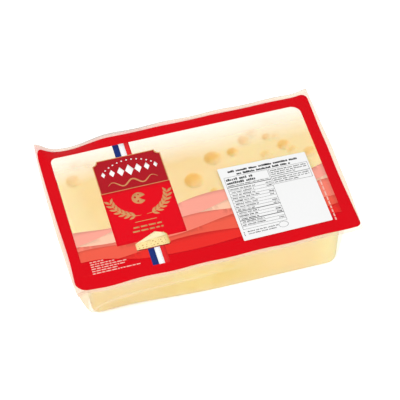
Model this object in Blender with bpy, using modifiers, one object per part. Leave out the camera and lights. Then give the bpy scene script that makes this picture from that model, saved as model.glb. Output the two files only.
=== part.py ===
"""A sealed pack of holed cheese, lying flat with its printed side up.

The block of cheese is held in a clear formed film. A printed film is sealed over it, along a
flange that runs round the block, and a paper label is stuck on the printed film.
Everything is in metres. X runs along the pack, Y from its front to its back and Z up, and the
origin is under the middle of the pack, on the surface that it lies on.
"""

import math

import bmesh
import bpy

# The printed film, which is as long and wide as the pack, with its two ends bowed outwards
PACK_LENGTH = 0.173
PACK_WIDTH = 0.109
END_BOW = 0.0015
SHEET_TOP = 0.0395
PRINTED_FILM = 0.0004
FILM_GAP = 0.00035

# The block of cheese in its formed film
BLOCK_LENGTH = 0.1515
BLOCK_WIDTH = 0.097
WALL_DRAFT = 0.0007
CORNER_ROUND = 0.008
BASE_ROUND = 0.0025
FLANGE_FILM = 0.0006
FLARE = 0.0034

# The front edge of the base is worn rounder at the left: how many times, where along X, and how far
FRONT_WEAR = (2.2, -0.056, 0.035)

# The slack of the flange: a sag along the sides and a ripple all round
FLANGE_SAG = 0.0002
RIPPLE_HEIGHT = 0.0004
RIPPLE_LENGTH = 0.034

# Where the flange dips at its back and front edges: depth, place along X and half its length
BACK_DIP = (0.0046, -0.067, 0.027)
FRONT_DIP = (0.0016, -0.070, 0.022)
DIP_START = 0.0425

# The two back corners, which curl up into ears: sides along X and Y, lift and reach of each
EARS = [(-1, 1, 0.0063, 0.007), (1, 1, 0.0022, 0.006)]

# Webs of spare film at the corners: the share of the way that each reaches, just under the
# flange, from the block's corner to the pack's. A corner is named by its sides along X and Y,
# and under 1 the rise makes a web swell out below its top.
WEB_REACH = {(1, 1): 0.40, (-1, 1): 0.10, (-1, -1): 0.95, (1, -1): 0.25}
WEB_RISE = 0.7

# The paper label
LABEL_LENGTH = 0.0537
LABEL_WIDTH = 0.0533
LABEL_PAPER = 0.00025
LABEL_CORNER = 0.0005
LABEL_CENTRE = (0.0427, -0.0179)
LABEL_TURN = math.radians(0.65)
LABEL_GAP = 0.0003

# How far the label's back edge is cut off square, as a slope
LABEL_SKEW = 0.035

# The block's corners, in the order that its outline runs through them, by their sides
QUARTERS = [(1, 1), (-1, 1), (-1, -1), (1, -1)]

# How finely the curved shapes are cut
SHEET_CELLS = (34, 24)
CORNER_STEPS = 8
SIDE_STEPS = 14
ROUND_STEPS = 4
WALL_STEPS = 3
TOP_RINGS = 4


def clear_scene():
    """Start from a scene with nothing in it."""
    for old in list(bpy.data.objects):
        bpy.data.objects.remove(old, do_unlink=True)


def new_collection(name):
    """Make a collection under the scene's own."""
    group = bpy.data.collections.new(name)
    bpy.context.scene.collection.children.link(group)
    return group


def material(name, colour, roughness):
    """Make a Principled material that isn't metallic."""
    made = bpy.data.materials.new(name)
    made.use_nodes = True
    shader = made.node_tree.nodes["Principled BSDF"]
    shader.inputs["Base Color"].default_value = (*colour, 1.0)
    shader.inputs["Roughness"].default_value = roughness
    shader.inputs["Metallic"].default_value = 0.0
    return made


def add_object(name, shape, group, finish):
    """Turn a bmesh into an object of the collection, with one material."""
    bmesh.ops.recalc_face_normals(shape, faces=shape.faces)
    mesh = bpy.data.meshes.new(name)
    shape.to_mesh(mesh)
    shape.free()
    mesh.materials.append(finish)
    made = bpy.data.objects.new(name, mesh)
    group.objects.link(made)
    return made


def ease(amount):
    """Run smoothly from 0 to 1, level at both ends."""
    held = min(max(amount, 0.0), 1.0)
    return held * held * (3.0 - 2.0 * held)


def pack_corner(side_x, side_y):
    """Place of one of the pack's four corners, seen from above."""
    return side_x * (PACK_LENGTH / 2 - END_BOW), side_y * PACK_WIDTH / 2


def sheet_level(x, y):
    """Level of the printed film's upper face: flat on the block and slack over the flange."""
    side_flange = (PACK_WIDTH - BLOCK_WIDTH) / 2
    end_flange = (PACK_LENGTH - BLOCK_LENGTH) / 2
    past_side = ease((abs(y) - BLOCK_WIDTH / 2) / side_flange)
    past_end = ease((abs(x) - BLOCK_LENGTH / 2) / end_flange)
    sag = FLANGE_SAG * past_side * (1.0 - past_end)
    ripple = RIPPLE_HEIGHT * max(past_side, past_end) * math.sin(2 * math.pi * (x - y) / RIPPLE_LENGTH)

    depth, place, reach = BACK_DIP if y > 0 else FRONT_DIP
    past_start = ease((abs(y) - DIP_START) / (PACK_WIDTH / 2 - DIP_START))
    dip = depth * past_start * ease(1.0 - abs(x - place) / reach)

    curl = 0.0
    for side_x, side_y, lift, reach in EARS:
        corner_x, corner_y = pack_corner(side_x, side_y)
        curl += lift * math.exp(-((math.hypot(x - corner_x, y - corner_y) / reach) ** 2))
    return SHEET_TOP - sag + ripple - dip + curl


def crowd_outwards(part):
    """Move evenly spaced lines, from -1 to 1, closer together towards both ends."""
    return part * (1.5 - 0.5 * part * part)


def add_sheet(name, drop, thickness, group, finish):
    """Make a rectangular film that follows the slack of the flange, a given drop below its top."""
    shape = bmesh.new()
    bmesh.ops.create_grid(shape, x_segments=SHEET_CELLS[0], y_segments=SHEET_CELLS[1], size=1.0)
    for point in shape.verts:
        along, across = crowd_outwards(point.co.x), crowd_outwards(point.co.y)
        point.co.x = along * (PACK_LENGTH / 2 - END_BOW * across * across)
        point.co.y = across * PACK_WIDTH / 2
        point.co.z = sheet_level(point.co.x, point.co.y) - drop
    sheet = add_object(name, shape, group, finish)
    wall = sheet.modifiers.new("thickness", "SOLIDIFY")
    wall.thickness = thickness
    wall.offset = -1.0
    return sheet


def block_outline(inset):
    """List the points of the block's outline, inset from its top size.

    Each has its place, the angle that it faces and, in a corner, the share of the corner's turn."""
    half_x = BLOCK_LENGTH / 2 - inset
    half_y = BLOCK_WIDTH / 2 - inset
    radius = max(CORNER_ROUND - inset, CORNER_ROUND / 3)
    points = []
    for quarter, (side_x, side_y) in enumerate(QUARTERS):
        for step in range(CORNER_STEPS + 1):
            turned = step / CORNER_STEPS
            angle = (quarter + turned) * math.pi / 2
            x = side_x * (half_x - radius) + radius * math.cos(angle)
            y = side_y * (half_y - radius) + radius * math.sin(angle)
            points.append((x, y, angle, turned))
        next_x, next_y = QUARTERS[(quarter + 1) % len(QUARTERS)]
        start_x, start_y, angle, turned = points[-1]
        end_x = next_x * (half_x - radius) if side_y == next_y else start_x
        end_y = next_y * (half_y - radius) if side_x == next_x else start_y
        for step in range(1, SIDE_STEPS):
            share = step / SIDE_STEPS
            x = start_x + (end_x - start_x) * share
            y = start_y + (end_y - start_y) * share
            points.append((x, y, angle, 0.0))
    return points


def worn(x, y, level, angle, inset):
    """Move a point of the rounded edge of the base in and up, where it is worn at the front left."""
    most, place, reach = FRONT_WEAR
    wear = most * math.exp(-(((x - place) / reach) ** 2)) * max(0.0, -math.sin(angle)) ** 2
    step_in = wear * max(0.0, inset - WALL_DRAFT)
    still = min(1.0, (SHEET_TOP - level) / (SHEET_TOP - BASE_ROUND))
    step_up = wear * min(level, BASE_ROUND) * still
    return x - step_in * math.cos(angle), y - step_in * math.sin(angle), level + step_up


def add_ring(shape, inset, level, top, web):
    """Add one closed ring of the block's outline, inset from its top size, with its corner webs."""
    points = []
    for x, y, angle, turned in block_outline(inset):
        x, y, z = worn(x, y, level, angle, inset)
        side_x, side_y = math.copysign(1, x), math.copysign(1, y)
        pull = web * WEB_REACH[side_x, side_y] * math.sin(math.pi * turned) ** 3
        corner_x, corner_y = pack_corner(side_x, side_y)
        x += pull * (corner_x - x)
        y += pull * (corner_y - y)
        slack = (sheet_level(x, y) - SHEET_TOP) * (z / top) ** 3
        points.append(shape.verts.new((x, y, z + slack)))
    return [shape.edges.new((points[at - 1], points[at])) for at in range(len(points))]


def block_profile(top):
    """List the inset, level and web of each ring, from the base up to the flange."""
    rings = []
    for step in range(ROUND_STEPS + 1):
        angle = step / ROUND_STEPS * math.pi / 2
        inset = WALL_DRAFT + BASE_ROUND * (1.0 - math.sin(angle))
        rings.append((inset, BASE_ROUND * (1.0 - math.cos(angle)), 0.0))
    shoulder = top - FLARE
    for step in range(1, WALL_STEPS + 1):
        up = step / WALL_STEPS
        level = BASE_ROUND + (shoulder - BASE_ROUND) * up
        rings.append((WALL_DRAFT * (1.0 - up), level, (level / top) ** WEB_RISE))
    for step in range(1, ROUND_STEPS + 1):
        angle = step / ROUND_STEPS * math.pi / 2
        rings.append((-FLARE * (1.0 - math.cos(angle)), shoulder + FLARE * math.sin(angle), 1.0))
    for step in range(TOP_RINGS):
        rings.append((step * CORNER_ROUND / (2 * (TOP_RINGS - 1)), top, 0.0))
    return rings


def add_wrapped_block(group, finish):
    """Make the block in its formed film: a rounded body joined to the flange's film."""
    flange_drop = PRINTED_FILM + FILM_GAP
    flange = add_sheet("wrapped_block", flange_drop, FLANGE_FILM, group, finish)

    body_top = SHEET_TOP - flange_drop - FLANGE_FILM / 2
    shape = bmesh.new()
    rings = [add_ring(shape, inset, level, body_top, web) for inset, level, web in block_profile(body_top)]
    for lower, upper in zip(rings, rings[1:]):
        bmesh.ops.bridge_loops(shape, edges=lower + upper)
    bmesh.ops.contextual_create(shape, geom=rings[0])
    bmesh.ops.contextual_create(shape, geom=rings[-1])
    body = add_object("block_body", shape, group, finish)

    depsgraph = bpy.context.evaluated_depsgraph_get()
    joined = flange.modifiers.new("body", "BOOLEAN")
    joined.operation = "UNION"
    joined.solver = "MANIFOLD"
    joined.object = body
    depsgraph.update()
    whole = bpy.data.meshes.new_from_object(flange.evaluated_get(depsgraph))
    flange.modifiers.clear()
    flange.data = whole
    bpy.data.objects.remove(body, do_unlink=True)
    return flange


def add_label(group, finish):
    """Make the nearly square paper label, lying on the flat part of the printed film."""
    shape = bmesh.new()
    bmesh.ops.create_cube(shape, size=1.0)
    bmesh.ops.scale(shape, vec=(LABEL_LENGTH, LABEL_WIDTH, LABEL_PAPER), verts=shape.verts)
    upright = [edge for edge in shape.edges if abs(edge.verts[0].co.z - edge.verts[1].co.z) > LABEL_PAPER / 2]
    bmesh.ops.bevel(
        shape, geom=upright, offset=LABEL_CORNER, segments=ROUND_STEPS, profile=0.5, affect="EDGES")
    for point in shape.verts:
        point.co.y -= LABEL_SKEW * point.co.x * (point.co.y / LABEL_WIDTH + 0.5)
    label = add_object("paper_label", shape, group, finish)
    label.location = (*LABEL_CENTRE, SHEET_TOP + LABEL_GAP + LABEL_PAPER / 2)
    label.rotation_euler.z = LABEL_TURN
    return label


def build_pack():
    """Make the three pieces of the pack."""
    clear_scene()
    pack = new_collection("cheese_pack")
    cheese_in_film = material("cheese_in_film", (0.93, 0.74, 0.38), 0.25)
    printed_red = material("printed_red", (0.72, 0.01, 0.02), 0.22)
    white_paper = material("white_paper", (0.92, 0.92, 0.92), 0.55)

    add_wrapped_block(pack, cheese_in_film)
    printed = add_sheet("printed_film", 0.0, PRINTED_FILM, pack, printed_red)
    printed.data.shade_smooth()
    add_label(pack, white_paper)


build_pack()
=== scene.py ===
"""The looks of a sealed pack of holed cheese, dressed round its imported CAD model.

The sections follow the pack as it is put together: the block of cheese, the clear film formed
round it, the inks of the printed film, the clear face of that film, and the paper label. The
studio comes last. Everything is in metres, in the CAD's own frame: X runs along the pack, Y
from its front to its back, and Z up from the surface that it lies on.
"""

import math
import random

import bmesh
import bpy
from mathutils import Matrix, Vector, noise
from mathutils.geometry import delaunay_2d_cdt


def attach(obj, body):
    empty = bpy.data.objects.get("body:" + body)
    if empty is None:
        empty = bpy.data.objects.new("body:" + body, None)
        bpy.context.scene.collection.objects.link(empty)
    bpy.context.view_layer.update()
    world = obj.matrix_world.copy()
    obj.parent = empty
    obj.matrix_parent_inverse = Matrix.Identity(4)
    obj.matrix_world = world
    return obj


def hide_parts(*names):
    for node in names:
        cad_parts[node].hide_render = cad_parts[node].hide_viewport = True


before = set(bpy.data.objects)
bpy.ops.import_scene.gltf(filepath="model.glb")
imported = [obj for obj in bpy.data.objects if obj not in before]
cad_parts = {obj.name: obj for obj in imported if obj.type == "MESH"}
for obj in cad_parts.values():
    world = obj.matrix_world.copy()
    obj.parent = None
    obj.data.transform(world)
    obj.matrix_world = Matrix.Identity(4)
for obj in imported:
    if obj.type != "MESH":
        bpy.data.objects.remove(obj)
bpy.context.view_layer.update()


# The block of cheese. Real: a half kilo block cut from a pressed wheel, pale yellow, close and
# waxy, with round eyes that gas blew in the curd. Where the knife opened an eye, the cut face
# has a smooth hollow, a little deeper in colour than the face round it; its colour here also
# holds painted shade, deepest on the hollow's far wall and in the most opened eyes.

# Below, a dip has its depth, its place along X and half its length; an ear its sides, lift and
# reach; and the worn front edge how many times rounder it is, its place along X and its reach.
PACK_LENGTH = 0.173
PACK_WIDTH = 0.109
END_BOW = 0.0015
SHEET_TOP = 0.0395
FLANGE_SAG = 0.0002
RIPPLE_HEIGHT = 0.0004
RIPPLE_LENGTH = 0.034
BACK_DIP = (0.0046, -0.067, 0.027)
FRONT_DIP = (0.0016, -0.070, 0.022)
DIP_START = 0.0425
EARS = [(-1, 1, 0.0063, 0.007), (1, 1, 0.0022, 0.006)]
BLOCK_LENGTH = 0.1515
BLOCK_WIDTH = 0.097
WALL_DRAFT = 0.0007
CORNER_ROUND = 0.008
BASE_ROUND = 0.0025
FRONT_WEAR = (2.2, -0.056, 0.035)
FLARE = 0.0034
FILM_ROOM = 0.0003
CUT_FACE = 0.03875
CHEESE_EDGE_ROUND = 0.0005
FACE_RINGS = 6
FACE_RIM = 0.0090
CHEESE_GRAIN = 0.0010
ARC_STEPS = 6
CORNER_STEPS = 20
LENGTH_STEPS = 64
WIDTH_STEPS = 36
QUARTERS = [(1, 1), (-1, 1), (-1, -1), (1, -1)]

# The eyes that the knife opened in the upper face: place along X and Y, radius of the rim, and
# how far each is opened, from a shallow dimple near 0 to a full bowl at 1
EYES = [
    (-0.0681, 0.0250, 0.0042, 0.75), (-0.0637, 0.0362, 0.0036, 0.80), (-0.0566, 0.0344, 0.0030, 0.80),
    (0.0004, 0.0060, 0.0054, 0.90), (0.0157, 0.0193, 0.0050, 0.90), (0.0100, -0.0050, 0.0022, 0.90),
    (0.0283, 0.0205, 0.0032, 1.00), (0.0377, 0.0274, 0.0038, 0.95), (0.0433, 0.0312, 0.0034, 0.70),
    (0.0512, 0.0262, 0.0027, 1.00), (0.0562, 0.0250, 0.0024, 0.45), (0.0594, 0.0175, 0.0038, 0.80),
    (0.0630, 0.0128, 0.0028, 0.60), (0.0731, 0.0084, 0.0037, 0.60), (0.0468, 0.0132, 0.0030, 0.45),
    (0.0552, 0.0378, 0.0022, 0.70), (-0.0340, -0.0350, 0.0044, 0.80), (0.0300, -0.0250, 0.0056, 0.80),
]
# Eyes in the walls, which the front one barely shows: place along X and up, and radius
WALL_EYES = [(-0.0180, 1, 0.0220, 0.0048), (0.0410, 1, 0.0170, 0.0036), (-0.0560, 1, 0.0120, 0.0026)]
EYE_DEPTH = 0.70
# Walls of an eye that face this way, to the front and right, are painted darkest: painted shade on the
# hollow's far wall
EYE_SHADE = Vector((0.35, -0.94, 0.0))


def ease(amount):
    """Run smoothly from 0 to 1, level at both ends."""
    held = min(max(amount, 0.0), 1.0)
    return held * held * (3.0 - 2.0 * held)


def pack_corner(side_x, side_y):
    """Place of one of the pack's four corners, seen from above."""
    return side_x * (PACK_LENGTH / 2 - END_BOW), side_y * PACK_WIDTH / 2


def sheet_level(x, y):
    """Level of the printed film's upper face: flat on the block and slack over the flange."""
    side_flange = (PACK_WIDTH - BLOCK_WIDTH) / 2
    end_flange = (PACK_LENGTH - BLOCK_LENGTH) / 2
    past_side = ease((abs(y) - BLOCK_WIDTH / 2) / side_flange)
    past_end = ease((abs(x) - BLOCK_LENGTH / 2) / end_flange)
    sag = FLANGE_SAG * past_side * (1.0 - past_end)
    ripple = RIPPLE_HEIGHT * max(past_side, past_end) * math.sin(2 * math.pi * (x - y) / RIPPLE_LENGTH)
    depth, place, reach = BACK_DIP if y > 0 else FRONT_DIP
    past_start = ease((abs(y) - DIP_START) / (PACK_WIDTH / 2 - DIP_START))
    dip = depth * past_start * ease(1.0 - abs(x - place) / reach)
    curl = 0.0
    for side_x, side_y, lift, reach in EARS:
        corner_x, corner_y = pack_corner(side_x, side_y)
        curl += lift * math.exp(-((math.hypot(x - corner_x, y - corner_y) / reach) ** 2))
    return SHEET_TOP - sag + ripple - dip + curl


def slack(x, y, level):
    """How far the pack's slack moves a point of the block or its film: all at the top, none at the base."""
    return (sheet_level(x, y) - SHEET_TOP) * (level / SHEET_TOP) ** 3


def block_outline(inset):
    """Points of the block's outline, inset from its top size: place, angle that it faces, and whether
    it lies in a corner."""
    half_x = BLOCK_LENGTH / 2 - inset
    half_y = BLOCK_WIDTH / 2 - inset
    radius = max(CORNER_ROUND - inset, CORNER_ROUND / 3)
    points = []
    for quarter, (side_x, side_y) in enumerate(QUARTERS):
        centre_x, centre_y = side_x * (half_x - radius), side_y * (half_y - radius)
        for step in range(CORNER_STEPS + 1):
            angle = (quarter + step / CORNER_STEPS) * math.pi / 2
            x, y = centre_x + radius * math.cos(angle), centre_y + radius * math.sin(angle)
            points.append((x, y, angle, True))
        next_x, next_y = QUARTERS[(quarter + 1) % 4]
        straight = LENGTH_STEPS if side_y == next_y else WIDTH_STEPS
        start_x, start_y, angle, _ = points[-1]
        end_x = next_x * (half_x - radius) if side_y == next_y else start_x
        end_y = next_y * (half_y - radius) if side_y != next_y else start_y
        for step in range(1, straight):
            share = step / straight
            x, y = start_x + (end_x - start_x) * share, start_y + (end_y - start_y) * share
            points.append((x, y, angle, False))
    return points


def worn(x, y, level, angle, inset):
    """Move a point of the rounded edge of the base in and up, where it is worn at the front left."""
    most, place, reach = FRONT_WEAR
    wear = most * math.exp(-(((x - place) / reach) ** 2)) * max(0.0, -math.sin(angle)) ** 2
    step_in = wear * max(0.0, inset - WALL_DRAFT)
    still = min(1.0, (SHEET_TOP - level) / (SHEET_TOP - BASE_ROUND))
    step_up = wear * min(level, BASE_ROUND) * still
    return x - step_in * math.cos(angle), y - step_in * math.sin(angle), level + step_up


def loft(shape, rings, close_top):
    """Join rings of points into one skin, closed across its lowest ring and, if asked, its highest."""
    rows = [[shape.verts.new(point) for point in ring] for ring in rings]
    for lower, upper in zip(rows, rows[1:]):
        for at in range(len(lower)):
            shape.faces.new((lower[at - 1], lower[at], upper[at], upper[at - 1]))
    shape.faces.new(list(reversed(rows[0])))
    if close_top:
        shape.faces.new(rows[-1])


def to_object(name, shape, finish=None):
    """Turn a bmesh into an object at the origin, shaded smooth."""
    mesh = bpy.data.meshes.new(name)
    shape.to_mesh(mesh)
    shape.free()
    mesh.shade_smooth()
    if finish:
        mesh.materials.append(finish)
    made = bpy.data.objects.new(name, mesh)
    bpy.context.scene.collection.objects.link(made)
    return made


def settle(piece):
    """Turn an object and its modifiers into a plain mesh, with its material kept."""
    depsgraph = bpy.context.evaluated_depsgraph_get()
    depsgraph.update()
    mesh = bpy.data.meshes.new_from_object(piece.evaluated_get(depsgraph))
    piece.modifiers.clear()
    piece.data = mesh
    return piece


def new_finish(name):
    """Make a material and hand back what a finish is built from: it, its nodes, links and shader."""
    made = bpy.data.materials.new(name)
    made.use_nodes = True
    tree = made.node_tree
    return made, tree.nodes, tree.links, tree.nodes["Principled BSDF"]


def linear(red, green, blue):
    """Turn a colour as a screen gives it, 0 to 255, into the light that it stands for."""
    def light(part):
        share = part / 255
        return share / 12.92 if share <= 0.04045 else ((share + 0.055) / 1.055) ** 2.4
    return light(red), light(green), light(blue), 1.0


def object_noise(nodes, links, scale, detail, stretch=(1.0, 1.0, 1.0)):
    """Noise that keeps its place in the piece, with its size set in waves to a metre."""
    place = nodes.new("ShaderNodeTexCoord")
    turn = nodes.new("ShaderNodeMapping")
    turn.inputs["Scale"].default_value = stretch
    links.new(place.outputs["Object"], turn.inputs["Vector"])
    grain = nodes.new("ShaderNodeTexNoise")
    grain.inputs["Scale"].default_value = scale
    grain.inputs["Detail"].default_value = detail
    links.new(turn.outputs["Vector"], grain.inputs["Vector"])
    return grain.outputs["Fac"]


def object_axis(nodes, links, axis):
    """A point's place along one axis of the pack."""
    place = nodes.new("ShaderNodeTexCoord")
    axes = nodes.new("ShaderNodeSeparateXYZ")
    links.new(place.outputs["Object"], axes.inputs["Vector"])
    return axes.outputs[axis]


def blended(nodes, links, amount, first, second, mode="MIX"):
    """Mix two colours, each a colour or a socket, by an amount that is a number or a socket."""
    mix = nodes.new("ShaderNodeMix")
    mix.data_type = "RGBA"
    mix.blend_type = mode
    for socket, value in zip((mix.inputs[0], mix.inputs[6], mix.inputs[7]), (amount, first, second)):
        if isinstance(value, bpy.types.NodeSocket):
            links.new(value, socket)
        else:
            socket.default_value = value
    return mix.outputs[2]


def spread(nodes, links, value, low, high, to_low=0.0, to_high=1.0, run="SMOOTHSTEP"):
    """Map a value from one range to another, held at both ends."""
    mapped = nodes.new("ShaderNodeMapRange")
    mapped.interpolation_type = run
    for socket, number in zip(mapped.inputs[1:5], (low, high, to_low, to_high)):
        socket.default_value = number
    links.new(value, mapped.inputs["Value"])
    return mapped.outputs["Result"]


# How the cheese changes in colour: axis, where it starts and stops, the most of it, and the colour.
# On the walls, painted shade darkens the left end; under the flange they are paler and duller, painted shade
# with the film's milkiness; their foot is paler, painted light from the table.
FACE_SHADES = [
    ("X", -0.058, -0.078, 1.0, (247, 224, 172)), ("X", 0.002, 0.030, 1.0, (246, 221, 166)),
]
WALL_TONES_AND_LIGHT = [
    # Painted shade at the left end, where the flange shades the wall, then a paler tone to the right
    ("X", -0.005, -0.060, 0.8, (232, 204, 148)), ("X", 0.000, 0.040, 0.8, (246, 217, 160)),
    # Painted shade and milkiness under the flange, then painted light from the table at the foot
    ("Z", 0.020, 0.034, 0.8, (239, 213, 172)), ("Z", 0.010, 0.002, 0.6, (243, 221, 172)),
    ("X", 0.054, 0.075, 1.0, (252, 233, 174)),
]
FACE_START, FACE_WHOLE = 0.030, 0.037


def shaded(nodes, links, colour, shades):
    """Blend one colour after another over a colour, each along its own axis."""
    for axis, start, stop, most, shade in shades:
        amount = spread(nodes, links, object_axis(nodes, links, axis), start, stop, 0.0, most)
        colour = blended(nodes, links, amount, colour, linear(*shade))
    return colour


def mottle(nodes, links, scale, detail, low=0.3, high=0.7, stretch=(1.0, 1.0, 1.0)):
    """Soft patches, from 0 to 1, that keep their place in the piece."""
    return spread(nodes, links, object_noise(nodes, links, scale, detail, stretch), low, high)


def roughen(nodes, links, height, strength, depth, shaders):
    """Raise and lower the surface that the shaders see, by a height from 0 to 1."""
    bump = nodes.new("ShaderNodeBump")
    bump.inputs["Strength"].default_value = strength
    bump.inputs["Distance"].default_value = depth
    links.new(height, bump.inputs["Height"])
    for shader in shaders:
        links.new(bump.outputs["Normal"], shader.inputs["Normal"])


def cheese_finish():
    """Pale, waxy cheese: light soaks in, the curd is faintly mottled, the eyes are deeper yellow with
    painted shade, and the walls hold painted shade and painted light.
    """
    made, nodes, links, shader = new_finish("cut_cheese")
    curd = mottle(nodes, links, 90.0, 4.0, 0.35, 0.65)
    cloud = mottle(nodes, links, 22.0, 2.0, 0.35, 0.65)
    colour = blended(nodes, links, curd, linear(242, 210, 147), linear(245, 215, 156))
    colour = blended(nodes, links, cloud, colour, linear(244, 216, 161))
    face = shaded(nodes, links, colour, FACE_SHADES)
    wall = blended(nodes, links, curd, linear(236, 208, 129), linear(240, 214, 141))
    wall = shaded(nodes, links, wall, WALL_TONES_AND_LIGHT)
    on_face = spread(nodes, links, object_axis(nodes, links, "Z"), FACE_START, FACE_WHOLE)
    colour = blended(nodes, links, on_face, wall, face)
    # Eyes: a deeper yellow that holds painted shade, strongest on each hollow's far wall
    eye_tone_and_shade = nodes.new("ShaderNodeAttribute")
    eye_tone_and_shade.attribute_name = "eye"
    colour = blended(nodes, links, eye_tone_and_shade.outputs["Fac"], colour, linear(238, 192, 104))
    links.new(colour, shader.inputs["Base Color"])
    links.new(spread(nodes, links, curd, 0.0, 1.0, 0.42, 0.55), shader.inputs["Roughness"])
    shader.inputs["Subsurface Weight"].default_value = 0.6
    shader.inputs["Subsurface Radius"].default_value = (1.0, 0.6, 0.3)
    shader.inputs["Subsurface Scale"].default_value = 0.0022
    shader.inputs["Specular IOR Level"].default_value = 0.3
    roughen(nodes, links, object_noise(nodes, links, 900.0, 5.0), 0.25, 0.0002, [shader])
    return made


def new_shaping(name, sockets):
    """Start a Geometry Nodes tree: the tree, its nodes, its links and the inputs that it is given."""
    tree = bpy.data.node_groups.new(name, "GeometryNodeTree")
    for socket, kind in sockets:
        tree.interface.new_socket(name=socket, in_out="INPUT", socket_type="NodeSocket" + kind)
    tree.interface.new_socket(name="Geometry", in_out="OUTPUT", socket_type="NodeSocketGeometry")
    return tree, tree.nodes, tree.links, tree.nodes.new("NodeGroupInput")


def read_attribute(nodes, name, kind):
    """An attribute that each point carries."""
    read = nodes.new("GeometryNodeInputNamedAttribute")
    read.data_type = kind
    read.inputs["Name"].default_value = name
    return read.outputs["Attribute"]


def set_on_points(nodes, links, points, piece, scale):
    """Set a piece on each point, sized by a scale, and make them all real."""
    placed = nodes.new("GeometryNodeInstanceOnPoints")
    links.new(points, placed.inputs["Points"])
    links.new(piece, placed.inputs["Instance"])
    links.new(scale, placed.inputs["Scale"])
    real = nodes.new("GeometryNodeRealizeInstances")
    links.new(placed.outputs["Instances"], real.inputs["Geometry"])
    return real.outputs["Geometry"]


def hand_back(nodes, links, geometry, finish):
    """Give a tree's result its finish and hand it back."""
    painted = nodes.new("GeometryNodeSetMaterial")
    links.new(geometry, painted.inputs["Geometry"])
    links.new(finish, painted.inputs["Material"])
    links.new(painted.outputs["Geometry"], nodes.new("NodeGroupOutput").inputs["Geometry"])


def eye_tree():
    """Geometry Nodes that set a sphere on each eye's centre and take them all out of the block."""
    sockets = [("Eye Centres", "Geometry"), ("Block", "Object"), ("Roundness", "Int"),
               ("Finish", "Material")]
    tree, nodes, links, given = new_shaping("open_eyes", sockets)
    ball = nodes.new("GeometryNodeMeshIcoSphere")
    links.new(given.outputs["Roundness"], ball.inputs["Subdivisions"])
    ball.inputs["Radius"].default_value = 1.0
    size = read_attribute(nodes, "ball_radius", "FLOAT")
    balls = set_on_points(nodes, links, given.outputs["Eye Centres"], ball.outputs["Mesh"], size)
    block = nodes.new("GeometryNodeObjectInfo")
    links.new(given.outputs["Block"], block.inputs["Object"])
    cut = nodes.new("GeometryNodeMeshBoolean")
    cut.operation = "DIFFERENCE"
    cut.solver = "EXACT"
    cut.inputs["Self Intersection"].default_value = True
    links.new(block.outputs["Geometry"], cut.inputs["Mesh 1"])
    links.new(balls, cut.inputs["Mesh 2"])
    hand_back(nodes, links, cut.outputs["Mesh"], given.outputs["Finish"])
    return tree


def set_inputs(modifier, values):
    """Set a Geometry Nodes modifier's inputs, given by name, through their identifiers."""
    sockets = {item.name: item.identifier for item in modifier.node_group.interface.items_tree
               if item.in_out == "INPUT"}
    for name, value in values.items():
        modifier[sockets[name]] = value


def eye_balls():
    """Centre and radius of the ball behind each eye, and how far the eye is opened."""
    balls = []
    for x, y, rim, opened in EYES:
        depth = rim * EYE_DEPTH * opened
        radius = (rim * rim + depth * depth) / (2 * depth)
        balls.append((Vector((x, y, CUT_FACE + radius - depth)), radius, opened))
    for x, side, level, rim in WALL_EYES:
        balls.append((Vector((x, side * BLOCK_WIDTH / 2, level)), rim, 1.0))
    return balls


def add_cheese():
    """Make the block with its opened eyes, softened edges and the painted shade in its eyes."""
    shape = bmesh.new()
    rings = []
    shoulder = CUT_FACE - CHEESE_EDGE_ROUND - FLARE
    for step in range(ARC_STEPS + 1):
        angle = step / ARC_STEPS * math.pi / 2
        inset = WALL_DRAFT + BASE_ROUND * (1.0 - math.sin(angle))
        rings.append((inset, FILM_ROOM + BASE_ROUND * (1.0 - math.cos(angle))))
    for step in range(ARC_STEPS + 1):
        angle = step / ARC_STEPS * math.pi / 2
        rings.append((-FLARE * (1.0 - math.cos(angle)), shoulder + FLARE * math.sin(angle)))
    for step in range(1, ARC_STEPS + 1):
        angle = step / ARC_STEPS * math.pi / 2
        inset = CHEESE_EDGE_ROUND * (1.0 - math.cos(angle)) - FLARE
        rings.append((inset, CUT_FACE - CHEESE_EDGE_ROUND * (1.0 - math.sin(angle))))
    edge_inset = CHEESE_EDGE_ROUND - FLARE
    rings += [(edge_inset + FACE_RIM * step / FACE_RINGS, CUT_FACE) for step in range(1, FACE_RINGS + 1)]
    placed = []
    for inset, level in rings:
        ring = [worn(x, y, level, facing, inset) for x, y, facing, _ in block_outline(inset + FILM_ROOM)]
        placed.append([(x, y, z + slack(x, y, z)) for x, y, z in ring])
    loft(shape, placed, True)
    block = to_object("uncut_block", shape)

    centres = bmesh.new()
    radius = centres.verts.layers.float.new("ball_radius")
    for centre, size, _ in eye_balls():
        centres.verts.new(centre)[radius] = size
    cheese = to_object("cheese_block", centres)
    opened = cheese.modifiers.new("eyes", "NODES")
    opened.node_group = eye_tree()
    finish = cheese_finish()
    set_inputs(opened, {"Block": block, "Roundness": 5, "Finish": finish})
    even = cheese.modifiers.new("even", "REMESH")
    even.mode = "VOXEL"
    even.voxel_size = CHEESE_GRAIN
    soft = cheese.modifiers.new("soft", "SMOOTH")
    soft.factor = 0.5
    soft.iterations = 3
    settle(cheese)
    cheese.data.materials.clear()
    cheese.data.materials.append(finish)
    bpy.data.objects.remove(block, do_unlink=True)

    # How deep in colour each point of an eye is: painted shade, strongest where the hollow's wall faces the
    # front and in the most opened eyes
    eye_tone_and_shade = cheese.data.attributes.new("eye", "FLOAT", "POINT")
    balls = eye_balls()
    for point in cheese.data.vertices:
        off, opened = min(((point.co - centre).length - size, opened) for centre, size, opened in balls)
        shaded_side = ease(0.5 + 0.9 * point.normal.dot(EYE_SHADE) / max(opened, 0.4))
        within = 1.0 - ease((off - 0.0001) / 0.0006)
        eye_tone_and_shade.data[point.index].value = within * opened * (0.08 + 0.92 * shaded_side)
    cheese.data.shade_smooth()
    return cheese


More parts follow.
